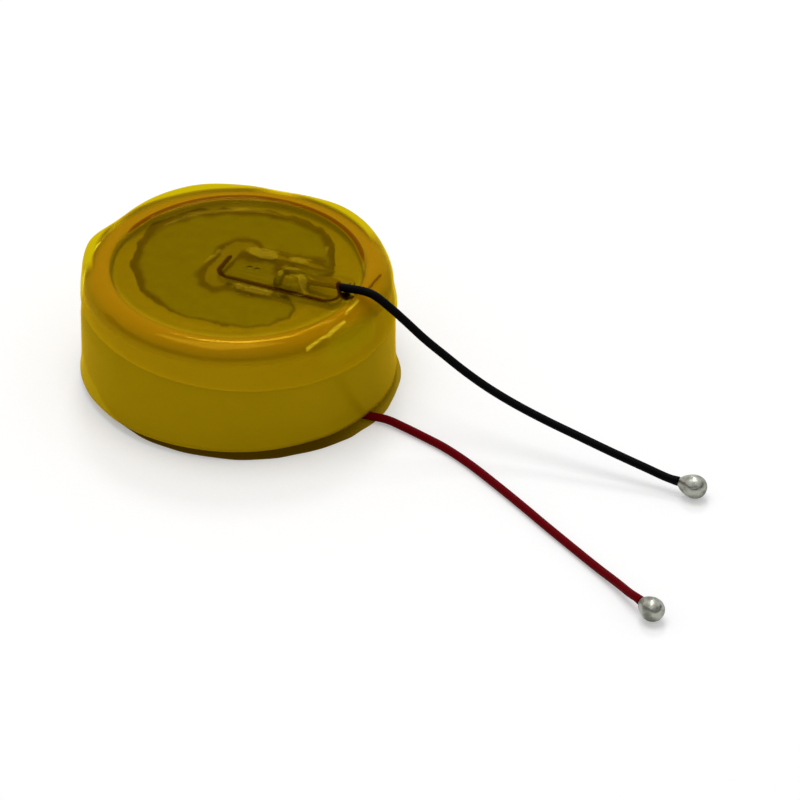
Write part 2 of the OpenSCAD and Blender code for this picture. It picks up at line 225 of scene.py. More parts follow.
def grow(name, data, tree, place=Matrix(), **values):
    """Runs a tree on some data with the named sizes, and keeps the result."""
    source = new_object(name + "_source", data)
    modifier = source.modifiers.new("shape", "NODES")
    modifier.node_group = tree
    for item in tree.interface.items_tree:
        key = item.name.replace(" ", "_")
        if item.in_out == "INPUT" and key in values:
            modifier[item.identifier] = values[key]
    return plain_copy(source, name, place)


# %% [markdown]
# ## A tree for turned forms
# The sleeve, the film disc, the solder pools and the beads are all round about an
# axis. A Screw modifier could turn their profiles, but it can't make them uneven.
# Here a grid of points is bent round the axis, one ring for each point of the profile,
# and each profile point also says how far a soft noise may push it out and up. That
# keeps both walls of a film together, and leaves alone what has to fit.

# %% A tree for turned forms
turned, inputs = new_tree("turned form", Segments="Int", Ripple_Size="Float", Seed="Float")
counted = add(turned, "GeometryNodeAttributeDomainSize", {"Geometry": inputs["Geometry"]})
rings = counted.outputs["Point Count"]
grid = add(turned, "GeometryNodeMeshGrid", {
    "Size X": 1.0, "Size Y": 1.0, "Vertices X": inputs["Segments"], "Vertices Y": rings})
here = add(turned, "ShaderNodeSeparateXYZ", {0: add(turned, "GeometryNodeInputPosition")})
turn_part = add(turned, "ShaderNodeMath", {0: here.outputs["X"], 1: 0.5}, operation="ADD")
turn_angle = add(turned, "ShaderNodeMath", {0: turn_part, 1: math.tau}, operation="MULTIPLY")
ring_part = add(turned, "ShaderNodeMath", {0: here.outputs["Y"], 1: 0.5}, operation="ADD")
last_ring = add(turned, "ShaderNodeMath", {0: rings, 1: 1.0}, operation="SUBTRACT")
ring_place = add(turned, "ShaderNodeMath", {0: ring_part, 1: last_ring}, operation="MULTIPLY")
ring = add(turned, "ShaderNodeMath", {0: ring_place}, operation="ROUND")


def on_ring(field):
    """A field of the profile at this ring, turned about the axis."""
    sample = add(turned, "GeometryNodeSampleIndex", {
        "Geometry": inputs["Geometry"], "Value": field, "Index": ring}, data_type="FLOAT_VECTOR")
    return add(turned, "ShaderNodeVectorRotate", {
        "Vector": sample, "Angle": turn_angle}, rotation_type="Z_AXIS")


at = on_ring(add(turned, "GeometryNodeInputPosition"))
sway = on_ring(add(turned, "GeometryNodeInputNamedAttribute", {"Name": "sway"}, data_type="FLOAT_VECTOR"))
ripple_scale = add(turned, "ShaderNodeMath", {0: 1.0, 1: inputs["Ripple Size"]}, operation="DIVIDE")
ripple = add(turned, "ShaderNodeTexNoise", {
    "Vector": at, "W": inputs["Seed"], "Scale": ripple_scale, "Detail": 1.0}, noise_dimensions="4D")
push = add(turned, "ShaderNodeVectorMath", {0: sway, "Scale": ripple.outputs["Fac"]}, operation="SCALE")
bent = add(turned, "GeometryNodeSetPosition", {
    "Geometry": grid.outputs["Mesh"], "Position": at, "Offset": push})
shut = add(turned, "GeometryNodeMergeByDistance", {"Geometry": bent, "Distance": 1e-7})
close_tree(turned, shut, inputs)


def profile(name, points):
    """Points (radius, height, out, up) in mm; out and up are how far each may sway."""
    mesh = bpy.data.meshes.new(name + "_profile")
    mesh.from_pydata([(r * MM, 0, z * MM) for r, z, out, up in points],
                     [(i, i + 1) for i in range(len(points) - 1)], [])
    reach = mesh.attributes.new("sway", "FLOAT_VECTOR", "POINT")
    reach.data.foreach_set("vector", [v * MM for r, z, out, up in points for v in (out, 0, up)])
    return mesh


print("turned form has", len(turned.nodes), "nodes")

# %% [markdown]
# ## A tree for the jacketed leads
# The jacket is a tube about the route. A bevelled curve would do, but a tree can also
# widen the tube where the solder's heat has made the jacket swell, just before the
# bead. The route is rounded by the tree, so that a short list of points bends softly.

# %% A tree for the jacketed leads
swept, inputs = new_tree("jacketed lead", Diameter="Float", Step="Float", Sides="Int",
                         Swelling="Float", Swollen_Length="Float")
rounded = add(swept, "GeometryNodeCurveSplineType", {"Curve": inputs["Geometry"]}, spline_type="CATMULL_ROM")
even = add(swept, "GeometryNodeResampleCurve", {"Curve": rounded, "Length": inputs["Step"]}, mode="LENGTH")
whole = add(swept, "GeometryNodeSplineLength").outputs["Length"]
done = add(swept, "GeometryNodeSplineParameter").outputs["Length"]
left = add(swept, "ShaderNodeMath", {0: whole, 1: done}, operation="SUBTRACT")
near_end = add(swept, "ShaderNodeMapRange", {
    "Value": left, "From Min": inputs["Swollen Length"], "From Max": 0.0,
    "To Min": 1.0, "To Max": inputs["Swelling"]}, interpolation_type="SMOOTHSTEP")
half = add(swept, "ShaderNodeMath", {0: inputs["Diameter"], 1: 2.0}, operation="DIVIDE")
ring_line = add(swept, "GeometryNodeCurvePrimitiveCircle", {
    "Resolution": inputs["Sides"], "Radius": half}, mode="RADIUS")
tube = add(swept, "GeometryNodeCurveToMesh", {
    "Curve": even, "Profile Curve": ring_line,
    "Scale": near_end.outputs["Result"], "Fill Caps": True})
close_tree(swept, tube, inputs)


def line(name, points):
    """An open curve of straight pieces through the points."""
    curve = bpy.data.curves.new(name + "_line", "CURVE")
    curve.dimensions = "3D"
    spline = curve.splines.new("POLY")
    spline.points.add(len(points) - 1)
    spline.points.foreach_set("co", [v for p in points for v in (*p, 1)])
    return curve


print("jacketed lead has", len(swept.nodes), "nodes")

# %% [markdown]
# ## A tree for the bare strands
# Where the jacket is stripped, seven fine wires show: one straight in the middle and
# six laid round it with a twist. The tree copies the centre line six times, moves each
# copy out by its own angle, which grows along the line, and sweeps a wire along all.

# %% A tree for the bare strands
twisted, inputs = new_tree("twisted strands", Outer_Strands="Int", Strand_Diameter="Float",
                           Turns="Float", Spread="Float")
core = add(twisted, "GeometryNodeResampleCurve", {"Curve": inputs["Geometry"], "Count": 64}, mode="COUNT")
copies = add(twisted, "GeometryNodeDuplicateElements", {
    "Geometry": core, "Amount": inputs["Outer Strands"]}, domain="SPLINE")
share = add(twisted, "ShaderNodeMath", {
    0: copies.outputs["Duplicate Index"], 1: inputs["Outer Strands"]}, operation="DIVIDE")
along = add(twisted, "GeometryNodeSplineParameter").outputs["Factor"]
twist = add(twisted, "ShaderNodeMath", {0: along, 1: inputs["Turns"], 2: share}, operation="MULTIPLY_ADD")
phase = add(twisted, "ShaderNodeMath", {0: twist, 1: math.tau}, operation="MULTIPLY")
opening = add(twisted, "ShaderNodeMath", {0: along, 1: inputs["Spread"], 2: 1.0}, operation="MULTIPLY_ADD")
lay = add(twisted, "ShaderNodeMath", {0: opening, 1: inputs["Strand Diameter"]}, operation="MULTIPLY")
across = add(twisted, "GeometryNodeInputNormal").outputs["Normal"]
forward = add(twisted, "GeometryNodeInputTangent")
offset = add(twisted, "ShaderNodeVectorMath", {0: across, "Scale": lay}, operation="SCALE")
spun = add(twisted, "ShaderNodeVectorRotate", {
    "Vector": offset, "Axis": forward, "Angle": phase}, rotation_type="AXIS_ANGLE")
outer = add(twisted, "GeometryNodeSetPosition", {"Geometry": copies, "Offset": spun})
bundle = add(twisted, "GeometryNodeJoinGeometry", {"Geometry": outer})
twisted.links.new(core.outputs[0], bundle.inputs[0])
thin = add(twisted, "ShaderNodeMath", {0: inputs["Strand Diameter"], 1: 2.0}, operation="DIVIDE")
wire_ring = add(twisted, "GeometryNodeCurvePrimitiveCircle", {"Resolution": 10, "Radius": thin})
wires = add(twisted, "GeometryNodeCurveToMesh", {
    "Curve": bundle, "Profile Curve": wire_ring, "Scale": 1.0, "Fill Caps": True})
close_tree(twisted, wires, inputs)
print("twisted strands has", len(twisted.nodes), "nodes")

# %% [markdown]
# ## Materials: the film
# The wrap is polyimide film with a clear adhesive. Light passes through it and comes
# back amber, because the film takes out nearly all the blue. A glass shader would
# bend the light and need many bounces. The film is so thin that a tinted Transparent
# shader tells the truth: each wall of the mesh tints once, so its colour is the square
# root of the film's own. A share of each wall scatters light instead, which is what
# makes film over an air gap look paler than film that has wetted the steel.

# %% Helpers for materials
# Sockets that are known by number:
SOFT = {"interpolation_type": "SMOOTHSTEP"}  # Map Range: 0 value, 1 low, 2 high, 3 and 4 what they become
COLOURS = {"data_type": "RGBA"}              # Mix: 0 share, 6 and 7 the colours, output 2 the result


def new_material(name):
    """An empty node material and its tree."""
    material = bpy.data.materials.new(name)
    material.use_nodes = True
    material.node_tree.nodes.clear()
    return material, material.node_tree


def speckle(tree, size, detail=2.0, stretch=(1, 1, 1), turn=0.0):
    """Noise in object space whose features are about this many millimetres wide."""
    spot = add(tree, "ShaderNodeTexCoord").outputs["Object"]
    placed = add(tree, "ShaderNodeMapping", {
        "Vector": spot, "Rotation": (0, 0, turn), "Scale": stretch}, vector_type="TEXTURE")
    return add(tree, "ShaderNodeTexNoise", {
        "Vector": placed, "Scale": 1 / (size * MM), "Detail": detail}).outputs["Fac"]


# %% The film's shader
FILM_WALL = "#f2ec69"
FILM_GLOSS = "#ffd43c"
FILM_IOR = 1.45  # polyimide itself has about 1.7; matched to how softly this film gleams


def film_surface(tree, wall, milky, haze, roughness, ripples, gloss=0.5):
    """A tinted clear part, a scattering part, and a gloss on the side that faces the eye."""
    normal = add(tree, "ShaderNodeBump", ripples)
    clear = add(tree, "ShaderNodeBsdfTransparent", {"Color": wall})
    scatter = add(tree, "ShaderNodeBsdfDiffuse", {"Color": milky, "Normal": normal})
    body = add(tree, "ShaderNodeMixShader", {0: haze, 1: clear, 2: scatter})
    shine = add(tree, "ShaderNodeBsdfGlossy", {
        "Color": colour(FILM_GLOSS), "Roughness": roughness, "Normal": normal})
    share = add(tree, "ShaderNodeFresnel", {"IOR": FILM_IOR, "Normal": normal})
    inside = add(tree, "ShaderNodeNewGeometry").outputs["Backfacing"]
    outer = add(tree, "ShaderNodeMath", {0: 1.0, 1: inside}, operation="SUBTRACT")
    for part in (outer, gloss):
        share = add(tree, "ShaderNodeMath", {0: share, 1: part}, operation="MULTIPLY")
    surface = add(tree, "ShaderNodeMixShader", {0: share, 1: body, 2: shine})
    add(tree, "ShaderNodeOutputMaterial", {"Surface": surface})


def film_finish(name, wall, milky, second, haze, lip_haze, lip=None, lit_toward=None):
    """Amber film, hazier at its lip; the second shade lies in spots, or around a lit place, and then the first
    is painted shadow away from it.
    """
    material, tree = new_material(name)
    spot = add(tree, "ShaderNodeTexCoord").outputs["Object"]
    height = add(tree, "ShaderNodeSeparateXYZ", {0: spot}).outputs["Z"]
    near_lip = {0: height, 1: (rim_z - 0.5) * MM, 2: rim_z * MM}
    hazy = add(tree, "ShaderNodeMapRange", {**near_lip, 3: haze, 4: lip_haze}, **SOFT)
    shade = speckle(tree, 2.5)
    if lit_toward:
        away = add(tree, "ShaderNodeVectorMath", {
            0: spot, 1: Vector((*lit_toward, 0)) * MM}, operation="DISTANCE")
        shade = add(tree, "ShaderNodeMapRange", {0: away.outputs["Value"], 1: 9 * MM, 2: 3 * MM}, **SOFT)
    body = add(tree, "ShaderNodeMix", {0: shade, 6: colour(milky), 7: colour(second)}, **COLOURS).outputs[2]
    if lip:
        at_lip = add(tree, "ShaderNodeMapRange", near_lip, **SOFT)
        body = add(tree, "ShaderNodeMix", {0: at_lip, 6: body, 7: colour(lip)}, **COLOURS).outputs[2]
    film_surface(tree, colour(wall), body, hazy, 0.18, {"Height": speckle(tree, 1.8), "Distance": 0.05 * MM})
    return material


sleeve_film = film_finish("polyimide film, sleeve", "#efe152", "#d4b204", "#c8a800", 0.5, 0.8, lip="#d6a002")
# The foot disc's dark brown away from its lit right side is painted shadow of the cell over its front.
foot_film = film_finish("polyimide film, foot disc", "#dcc03c", "#3a2803", "#d8c028", 0.5, 0.5,
                        lit_toward=(8.5, 0.5))
print("films:", sleeve_film.name, "and", foot_film.name)

# %% [markdown]
# ## The covering film's shader
# On the covering film the adhesive has wetted the cap in one large patch, which looks
# darker and clearer. Its outline is a number on each point of the mesh: how many
# millimetres the point lies inside the patch. A little noise makes the line ragged,
# and just inside it the adhesive has crept into a darker band.
#
# The film's other marks are kept on its points in the same way: pale patches of air
# left under it and pale spots of painted highlight, the tent of slack film at the lead,
# the brims that stand off the rim, the painted shadow line over the cap's step, the
# painted highlights along the creases, and the painted shadow of the seam around the
# strip and the lead. Each one adds some haze, and gives the haze its own shade.

# %% The covering film's marks
MARKS = [  # name, distances in mm where it begins and is full, haze, shade
    # The airy mark: air under the film, and pale spots painted as highlights.
    ("airy", 0.2, 0.34, 0.25, "#c8a81e"), ("tented", -0.1, 0.5, 0.4, "#bea202"),
    # The step mark is a painted shadow line over the cap's step.
    ("brim", -0.02, 0.2, 0.8, "#d6c000"), ("step", -0.04, 0.08, 0.65, "#7e4200"),
    # The crease mark is a painted highlight along the creases.
    ("crease", 0.01, 0.1, 0.5, "#ffe030")]
ONLY_ABOVE = {"brim": (0.9, 0.35), "tented": (2.0, 0.8)}  # mm below the rim where it begins and is full
# The seam is painted shadow: the haze it adds, its dark brown, and its near-black core.
SEAM_SHADOW_HAZE, SEAM_SHADOW_TINT, SEAM_SHADOW_CORE = 0.75, "#441a00", "#0c0500"
WET_EDGE = 0.42


def mark_on(tree, name, low, high):
    """0 below low and 1 above high of a distance that is kept on the mesh, in millimetres."""
    mark = add(tree, "ShaderNodeAttribute", attribute_name=name).outputs["Fac"]
    # Trapped air and the painted highlights both break up into small spots.
    if name == "airy":  # trapped air breaks up into small spots
        mark = add(tree, "ShaderNodeMath", {
            0: speckle(tree, 0.45, 3.0), 1: 0.5, 2: mark}, operation="MULTIPLY_ADD")
    return add(tree, "ShaderNodeMapRange", {0: mark, 1: low, 2: high}, **SOFT)


def marked_haze(tree, wet, height):
    """How much of the film's light is scattered, and in which colour, with all marks."""
    dry = add(tree, "ShaderNodeMapRange", {0: wet, 1: 0.0, 2: 1.0, 3: 1.0, 4: 0.3}, **SOFT)
    folded = add(tree, "ShaderNodeMapRange", {
        0: height, 1: (rim_z - 0.3) * MM, 2: (rim_z - 0.9) * MM, 3: 0.1, 4: 0.36}, **SOFT)
    haze = add(tree, "ShaderNodeMath", {0: dry, 1: folded}, operation="MULTIPLY")
    shade = colour("#e6be0a")
    for name, low, high, amount, tint in MARKS:
        mark = mark_on(tree, name, low, high)
        if name in ONLY_ABOVE:
            begins, full = ONLY_ABOVE[name]
            above = add(tree, "ShaderNodeMapRange", {
                0: height, 1: (rim_z - begins) * MM, 2: (rim_z - full) * MM}, **SOFT)
            mark = add(tree, "ShaderNodeMath", {0: mark, 1: above}, operation="MULTIPLY")
        haze = add(tree, "ShaderNodeMath", {0: mark, 1: amount, 2: haze}, operation="MULTIPLY_ADD")
        shade = add(tree, "ShaderNodeMix", {0: mark, 6: shade, 7: colour(tint)}, **COLOURS).outputs[2]
    # The seam's painted shadow: hazy dark brown, near black where it is deepest.
    seam = mark_on(tree, "seam", -0.03, 0.05)
    haze = add(tree, "ShaderNodeMath", {0: seam, 1: SEAM_SHADOW_HAZE, 2: haze}, operation="MULTIPLY_ADD")
    dark = add(tree, "ShaderNodeMix", {
        0: mark_on(tree, "seam", 0.05, 0.12), 6: colour(SEAM_SHADOW_TINT), 7: colour(SEAM_SHADOW_CORE)}, **COLOURS)
    shade = add(tree, "ShaderNodeMix", {
        0: mark_on(tree, "seam", -0.04, -0.02), 6: shade, 7: dark.outputs[2]}, **COLOURS).outputs[2]
    return haze, shade


print("marks:", [name for name, *_ in MARKS], "and the seam")

# %% The covering film's shader
def covering_finish(name):
    """The covering film: paler and hazier where dry, darker and clearer where wetted."""
    material, tree = new_material(name)
    place = add(tree, "ShaderNodeTexCoord").outputs["Object"]
    spot = add(tree, "ShaderNodeSeparateXYZ", {0: place}).outputs
    flat = add(tree, "ShaderNodeCombineXYZ", {"X": spot["X"], "Y": spot["Y"]})
    radius = add(tree, "ShaderNodeVectorMath", {0: flat}, operation="LENGTH").outputs["Value"]

    # The ragged patch, and the lighter part inside its dark band, which is thinner at the front.
    depth = add(tree, "ShaderNodeAttribute", attribute_name="wetted").outputs["Fac"]
    ragged = add(tree, "ShaderNodeMath", {
        0: speckle(tree, 1.1, 3.0), 1: 0.9, 2: depth}, operation="MULTIPLY_ADD")
    depth = add(tree, "ShaderNodeMath", {0: ragged, 1: 0.45}, operation="SUBTRACT")
    wet = add(tree, "ShaderNodeMapRange", {0: depth, 1: -0.02, 2: 0.04}, **SOFT)
    wider = add(tree, "ShaderNodeMapRange", {
        0: spot["Y"], 1: -2.2 * MM, 2: -4.2 * MM, 3: 0.0, 4: 0.28}, **SOFT)
    within = add(tree, "ShaderNodeMath", {0: depth, 1: wider}, operation="ADD")
    inside = add(tree, "ShaderNodeMapRange", {0: within, 1: WET_EDGE - 0.15, 2: WET_EDGE + 0.25}, **SOFT)

    # What the clear part lets through: dry film by the cap's middle and edge, off the cap, and wetted.
    outer = add(tree, "ShaderNodeMapRange", {0: radius, 1: 4.3 * MM, 2: 5.2 * MM}, **SOFT)
    off_cap = add(tree, "ShaderNodeMapRange", {
        0: radius, 1: (lip_r - 0.35) * MM, 2: (lip_r + 0.15) * MM}, **SOFT)
    dry = add(tree, "ShaderNodeMix", {0: outer, 6: colour("#d7cd50"), 7: colour("#e3d856")}, **COLOURS)
    dry = add(tree, "ShaderNodeMix", {0: off_cap, 6: dry.outputs[2], 7: colour(FILM_WALL)}, **COLOURS)
    wetted = add(tree, "ShaderNodeMix", {0: inside, 6: colour("#cdc03e"), 7: colour("#ddd54c")}, **COLOURS)
    wall = add(tree, "ShaderNodeMix", {0: wet, 6: dry.outputs[2], 7: wetted.outputs[2]}, **COLOURS).outputs[2]

    # The film gleams over the rim, less on its skirt and on the tent, and little where it is stuck.
    gloss = add(tree, "ShaderNodeMapRange", {
        0: spot["Z"], 1: (rim_z - 0.9) * MM, 2: (rim_z - 0.3) * MM, 3: 0.45, 4: 0.8}, **SOFT)
    taut = add(tree, "ShaderNodeAttribute", attribute_name="tented").outputs["Fac"]
    calm = add(tree, "ShaderNodeMapRange", {0: taut, 1: -2.6, 2: -0.8, 3: 1.0, 4: 0.35}, **SOFT)
    loose = add(tree, "ShaderNodeMapRange", {0: off_cap, 1: 0.0, 2: 1.0, 3: 0.2, 4: 1.0}, **SOFT)
    for part in (calm, loose):
        gloss = add(tree, "ShaderNodeMath", {0: gloss, 1: part}, operation="MULTIPLY")
    haze, milky = marked_haze(tree, wet, spot["Z"])
    film_surface(tree, wall, milky, haze, 0.11, {"Height": speckle(tree, 1.6), "Distance": 0.04 * MM},
                 gloss.outputs[0])
    return material


cover_film = covering_finish("polyimide film, cover")
print("film:", cover_film.name)

# %% [markdown]
# ## Materials: metals
# The can and the cap are drawn from nickel-plated steel: a soft grey mirror with fine
# lines in the direction of the draw. The strips are rolled nickel, with lines along
# them, and their upright cut edges get a painted shade of dark brown. Solder is a tin
# alloy that froze in a frosty skin. All are full metals, so what tells them apart is
# colour, roughness and their lines. The real lines are a few hundredths of a millimetre
# apart, too fine to show, so they are drawn some tenths wide.

# %% Materials: metals
def metal_finish(name, bright, dull, roughness, pattern, depth, shaded_cut_edge=None):
    """A metal whose colour, roughness and bump follow one pattern; upright faces may get a painted shade."""
    material, tree = new_material(name)
    marks = pattern(tree)
    face = add(tree, "ShaderNodeMix", {0: marks, 6: colour(dull), 7: colour(bright)}, **COLOURS).outputs[2]
    if shaded_cut_edge:
        normal = add(tree, "ShaderNodeNewGeometry").outputs["True Normal"]
        up = add(tree, "ShaderNodeSeparateXYZ", {0: normal}).outputs["Z"]
        tilt = add(tree, "ShaderNodeMath", {0: up}, operation="ABSOLUTE")
        level = add(tree, "ShaderNodeMapRange", {0: tilt, 1: 0.3, 2: 0.7}, **SOFT)
        face = add(tree, "ShaderNodeMix", {0: level, 6: colour(shaded_cut_edge), 7: face}, **COLOURS).outputs[2]
    polish = add(tree, "ShaderNodeMapRange", {
        0: marks, 1: 0.2, 2: 0.8, 3: roughness + 0.08, 4: roughness - 0.06}, **SOFT)
    relief = add(tree, "ShaderNodeBump", {"Height": marks, "Distance": depth * MM})
    shader = add(tree, "ShaderNodeBsdfPrincipled", {
        "Base Color": face, "Metallic": 1.0, "Roughness": polish, "Normal": relief})
    add(tree, "ShaderNodeOutputMaterial", {"Surface": shader})
    return material


drawn_steel = metal_finish("nickel-plated steel, deep drawn", "#b4afa4", "#948e82", 0.34,
                           lambda tree: speckle(tree, 0.5, 4.0, stretch=(1, 1, 9)), 0.004)
pressed_steel = metal_finish("nickel-plated steel, pressed cap", "#b0aba0", "#928c80", 0.36,
                             lambda tree: speckle(tree, 0.8, 4.0), 0.004)
# The strip's upright cut faces are painted dark brown as shade.
rolled_nickel = metal_finish("nickel strip, rolled", "#a8a295", "#7e776a", 0.38,
                             lambda tree: speckle(tree, 0.12, 3.0, stretch=(14, 1, 1), turn=STRIP_DIR), 0.004,
                             shaded_cut_edge="#32220c")
frosty_solder = metal_finish("tin solder, frozen", "#a6a79d", "#737369", 0.38, lambda tree: add(
    tree, "ShaderNodeMapRange", {0: speckle(tree, 0.6, 4.0), 1: 0.35, 2: 0.62}, **SOFT), 0.02)
bare_copper = metal_finish("copper strands, thinly tinned", "#8a6038", "#5e4026", 0.35,
                           lambda tree: speckle(tree, 0.2, 2.0), 0.003)
foil_aluminium = metal_finish("aluminium foil", "#c9cac8", "#a9aaa8", 0.3,
                              lambda tree: speckle(tree, 0.3, 3.0, stretch=(8, 1, 1)), 0.003)
foil_nickel = metal_finish("nickel foil", "#b5b0a3", "#938d80", 0.3,
                           lambda tree: speckle(tree, 0.3, 3.0, stretch=(8, 1, 1)), 0.003)
print("metals:", drawn_steel.name, "and 6 more")

# %% [markdown]
# ## Materials: plastics and the winding
# The jackets are soft PVC from an extruder: a faint grain and a dull gloss. The gasket
# is moulded polypropylene and the discs are cut from it. The winding shows the edges
# of its layers as a spiral, so its pattern is radius and angle together, with the
# real pitch of about a fifth of a millimetre.

# %% Materials: plastics and the winding
def plastic_finish(name, main, second, roughness, grain, depth, shine=0.4):
    """A plastic with a slight change of shade and a fine grain, in millimetres."""
    material, tree = new_material(name)
    shade = add(tree, "ShaderNodeMix", {
        0: speckle(tree, grain * 6), 6: colour(main), 7: colour(second)}, **COLOURS).outputs[2]
    polish = add(tree, "ShaderNodeMapRange", {
        0: speckle(tree, grain * 3), 1: 0.3, 2: 0.7, 3: roughness - 0.05, 4: roughness + 0.07}, **SOFT)
    relief = add(tree, "ShaderNodeBump", {"Height": speckle(tree, grain, 3.0), "Distance": depth * MM})
    shader = add(tree, "ShaderNodeBsdfPrincipled", {
        "Base Color": shade, "Roughness": polish, "Specular IOR Level": shine, "Normal": relief})
    add(tree, "ShaderNodeOutputMaterial", {"Surface": shader})
    return material


def winding_finish(name, pitch):
    """Layer edges of a wound electrode: a spiral of dark and light bands."""
    material, tree = new_material(name)
    place = add(tree, "ShaderNodeTexCoord").outputs["Object"]
    spot = add(tree, "ShaderNodeSeparateXYZ", {0: place}).outputs
    flat = add(tree, "ShaderNodeCombineXYZ", {"X": spot["X"], "Y": spot["Y"]})
    radius = add(tree, "ShaderNodeVectorMath", {0: flat}, operation="LENGTH").outputs["Value"]
    angle = add(tree, "ShaderNodeMath", {0: spot["Y"], 1: spot["X"]}, operation="ARCTAN2")
    turns = add(tree, "ShaderNodeMath", {0: angle, 1: math.tau}, operation="DIVIDE")
    layers = add(tree, "ShaderNodeMath", {0: radius, 1: pitch * MM}, operation="DIVIDE")
    spiral = add(tree, "ShaderNodeMath", {0: layers, 1: turns}, operation="SUBTRACT")
    band = add(tree, "ShaderNodeMath", {0: spiral}, operation="FRACT")
    stripe = add(tree, "ShaderNodeMapRange", {0: band, 1: 0.35, 2: 0.6}, **SOFT)
    shade = add(tree, "ShaderNodeMix", {0: stripe, 6: colour("#2e2d2c"), 7: colour("#8d8a84")}, **COLOURS)
    relief = add(tree, "ShaderNodeBump", {"Height": stripe, "Distance": 0.02 * MM})
    shader = add(tree, "ShaderNodeBsdfPrincipled", {
        "Base Color": shade.outputs[2], "Roughness": 0.6, "Normal": relief})
    add(tree, "ShaderNodeOutputMaterial", {"Surface": shader})
    return material


black_jacket = plastic_finish("PVC jacket, black", "#030303", "#060606", 0.5, 0.06, 0.004, shine=0.03)
red_jacket = plastic_finish("PVC jacket, red", "#6a020b", "#5c0207", 0.5, 0.06, 0.004, shine=0.02)
moulded_gasket = plastic_finish("polypropylene gasket, moulded", "#cfcabb", "#c2bdac", 0.45, 0.1, 0.003)
cut_disc = plastic_finish("polypropylene disc, cut", "#dcdad2", "#d0cec4", 0.5, 0.1, 0.003)
wound_layers = winding_finish("wound electrodes", 0.22)
print("plastics:", black_jacket.name, "and 4 more")

# %% [markdown]
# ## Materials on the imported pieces
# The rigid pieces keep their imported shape, and only their material slots change. What
# the films hide is finished too, because the part can be opened up later.

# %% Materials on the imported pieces
FINISHES = {
    "positive_can": drawn_steel, "negative_cap": pressed_steel, "sealing_gasket": moulded_gasket,
    "electrode_winding": wound_layers, "lower_insulator": cut_disc, "upper_insulator": cut_disc,
    "cathode_foil_tab": foil_aluminium, "anode_foil_tab": foil_nickel,
    "negative_strip": rolled_nickel, "positive_strip": rolled_nickel}
for node, finish in FINISHES.items():
    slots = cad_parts[node].data.materials
    slots.clear()
    slots.append(finish)
print("finished packed pieces:", len(FINISHES))

# %% [markdown]
# ## The leads
# Both jackets come out of the same tree. The tube is swept in steps of a quarter of
# its own thickness, so a bend stays round, and it swells a little at the bead.

# %% The leads
LEAD_SIZES = {"Diameter": WIRE_D * MM, "Step": 0.12 * MM, "Sides": 24,
              "Swelling": 1.12, "Swollen_Length": 0.5 * MM}
jackets = {"negative": black_jacket, "positive": red_jacket}
pieces = {}
for pole, route in LEADS.items():
    name = pole + "_jacket"
    pieces[name] = grow(name, line(name, route), swept, Material=jackets[pole], **LEAD_SIZES)

# %% [markdown]
# ## The bare strands
# They run straight on from the jacket's cut end into the solder. Seven wires of a
# third of the bundle's width fill it exactly.

# %% The bare strands
STRAND_SIZES = {"Outer_Strands": 6, "Strand_Diameter": STRAND_BUNDLE_D / 3 * MM, "Turns": 1.1, "Spread": 0.0}
for pole, route in LEADS.items():
    name = pole + "_wires"
    run = line(name, [route[0], bare_end(route)])
    pieces[name] = grow(name, run, twisted, Material=bare_copper, **STRAND_SIZES)

# %% [markdown]
# ## Solder pools and beads
# Molten solder pulls itself into a dome on the strip and into a drop on the wire's
# end. Both are turned forms. Their sway is a few hundredths of a millimetre, enough
# to break the highlight as a hand-made joint does, and nothing at the neck or the foot.

# %% Solder pools and beads
def dome(height, lumps, steps=16):
    """Profile of a pool of solder: wetted out at its foot, round on top."""
    arc = [math.pi / 2 * i / steps for i in range(steps + 1)]
    top = [(POOL_D / 2 * math.cos(t) ** 0.8, height * math.sin(t), lumps * math.sin(t) * math.cos(t), 0)
           for t in arc]
    return [(0, 0, 0, 0)] + top


EGG_WIDTH, EGG_TAPER = 0.86, 0.2


def drop(steps=36, lumps=0.05):
    """Profile of a bead: an egg about the lead's line, fuller towards its tip."""
    neck = math.asin(WIRE_D / BEAD_D)
    turns = [neck + (math.pi - neck) * i / steps for i in range(steps + 1)]
    sink = BEAD_L / 2 * math.cos(neck)
    skin = [(BEAD_D / 2 * math.sin(t) * (EGG_WIDTH - EGG_TAPER * math.cos(t)),
             sink - BEAD_L / 2 * math.cos(t), lumps * math.sin(t) * math.sin(t - neck), 0) for t in turns]
    return [(0, 0, 0, 0)] + skin


POOL_PLACES = {"negative": (strip_top, POOL_H, 0), "positive": (strip_low, strip_low - film_t, math.pi)}
for seed, (pole, route) in enumerate(LEADS.items()):
    level, height, flip = POOL_PLACES[pole]
    middle = bare_end(route, SOLDER_OVERLAP)
    place = Matrix.Translation((middle.x, middle.y, level * MM)) @ Matrix.Rotation(flip, 4, "X")
    name = pole + "_solder_pool"
    pieces[name] = grow(name, profile(name, dome(height, 0.12)), turned, place, Material=frosty_solder,
                        Segments=72, Ripple_Size=0.5 * MM, Seed=seed + 0.3)
    name = pole + "_solder_bead"
    heading = (route[-1] - route[-2]).to_track_quat("Z", "Y").to_matrix().to_4x4()
    place = Matrix.Translation(route[-1]) @ heading
    pieces[name] = grow(name, profile(name, drop()), turned, place, Material=frosty_solder,
                        Segments=72, Ripple_Size=0.6 * MM, Seed=seed + 4.1)

# %% [markdown]
# ## The sleeve and the foot disc
# The sleeve is a shrunk tube with its upper edge turned in over the rim. It fits the
# can closely, so only its free lower edge sways. The foot disc is a loose sheet under
# the cell: cut by hand, so its edge runs in and out a little.

# %% The sleeve and the foot disc
EDGE_SWAY, EDGE_SWAY_H = 0.14, 1.1  # how far the sleeve's free edge sways, and up to which height


def bend(x, z, radius, start, end, steps=10):
    """Points of an arc in a profile, with no sway."""
    turns = [math.radians(start + (end - start) * i / steps) for i in range(steps + 1)]
    return [(x + radius * math.cos(t), z + radius * math.sin(t), 0, 0) for t in turns]


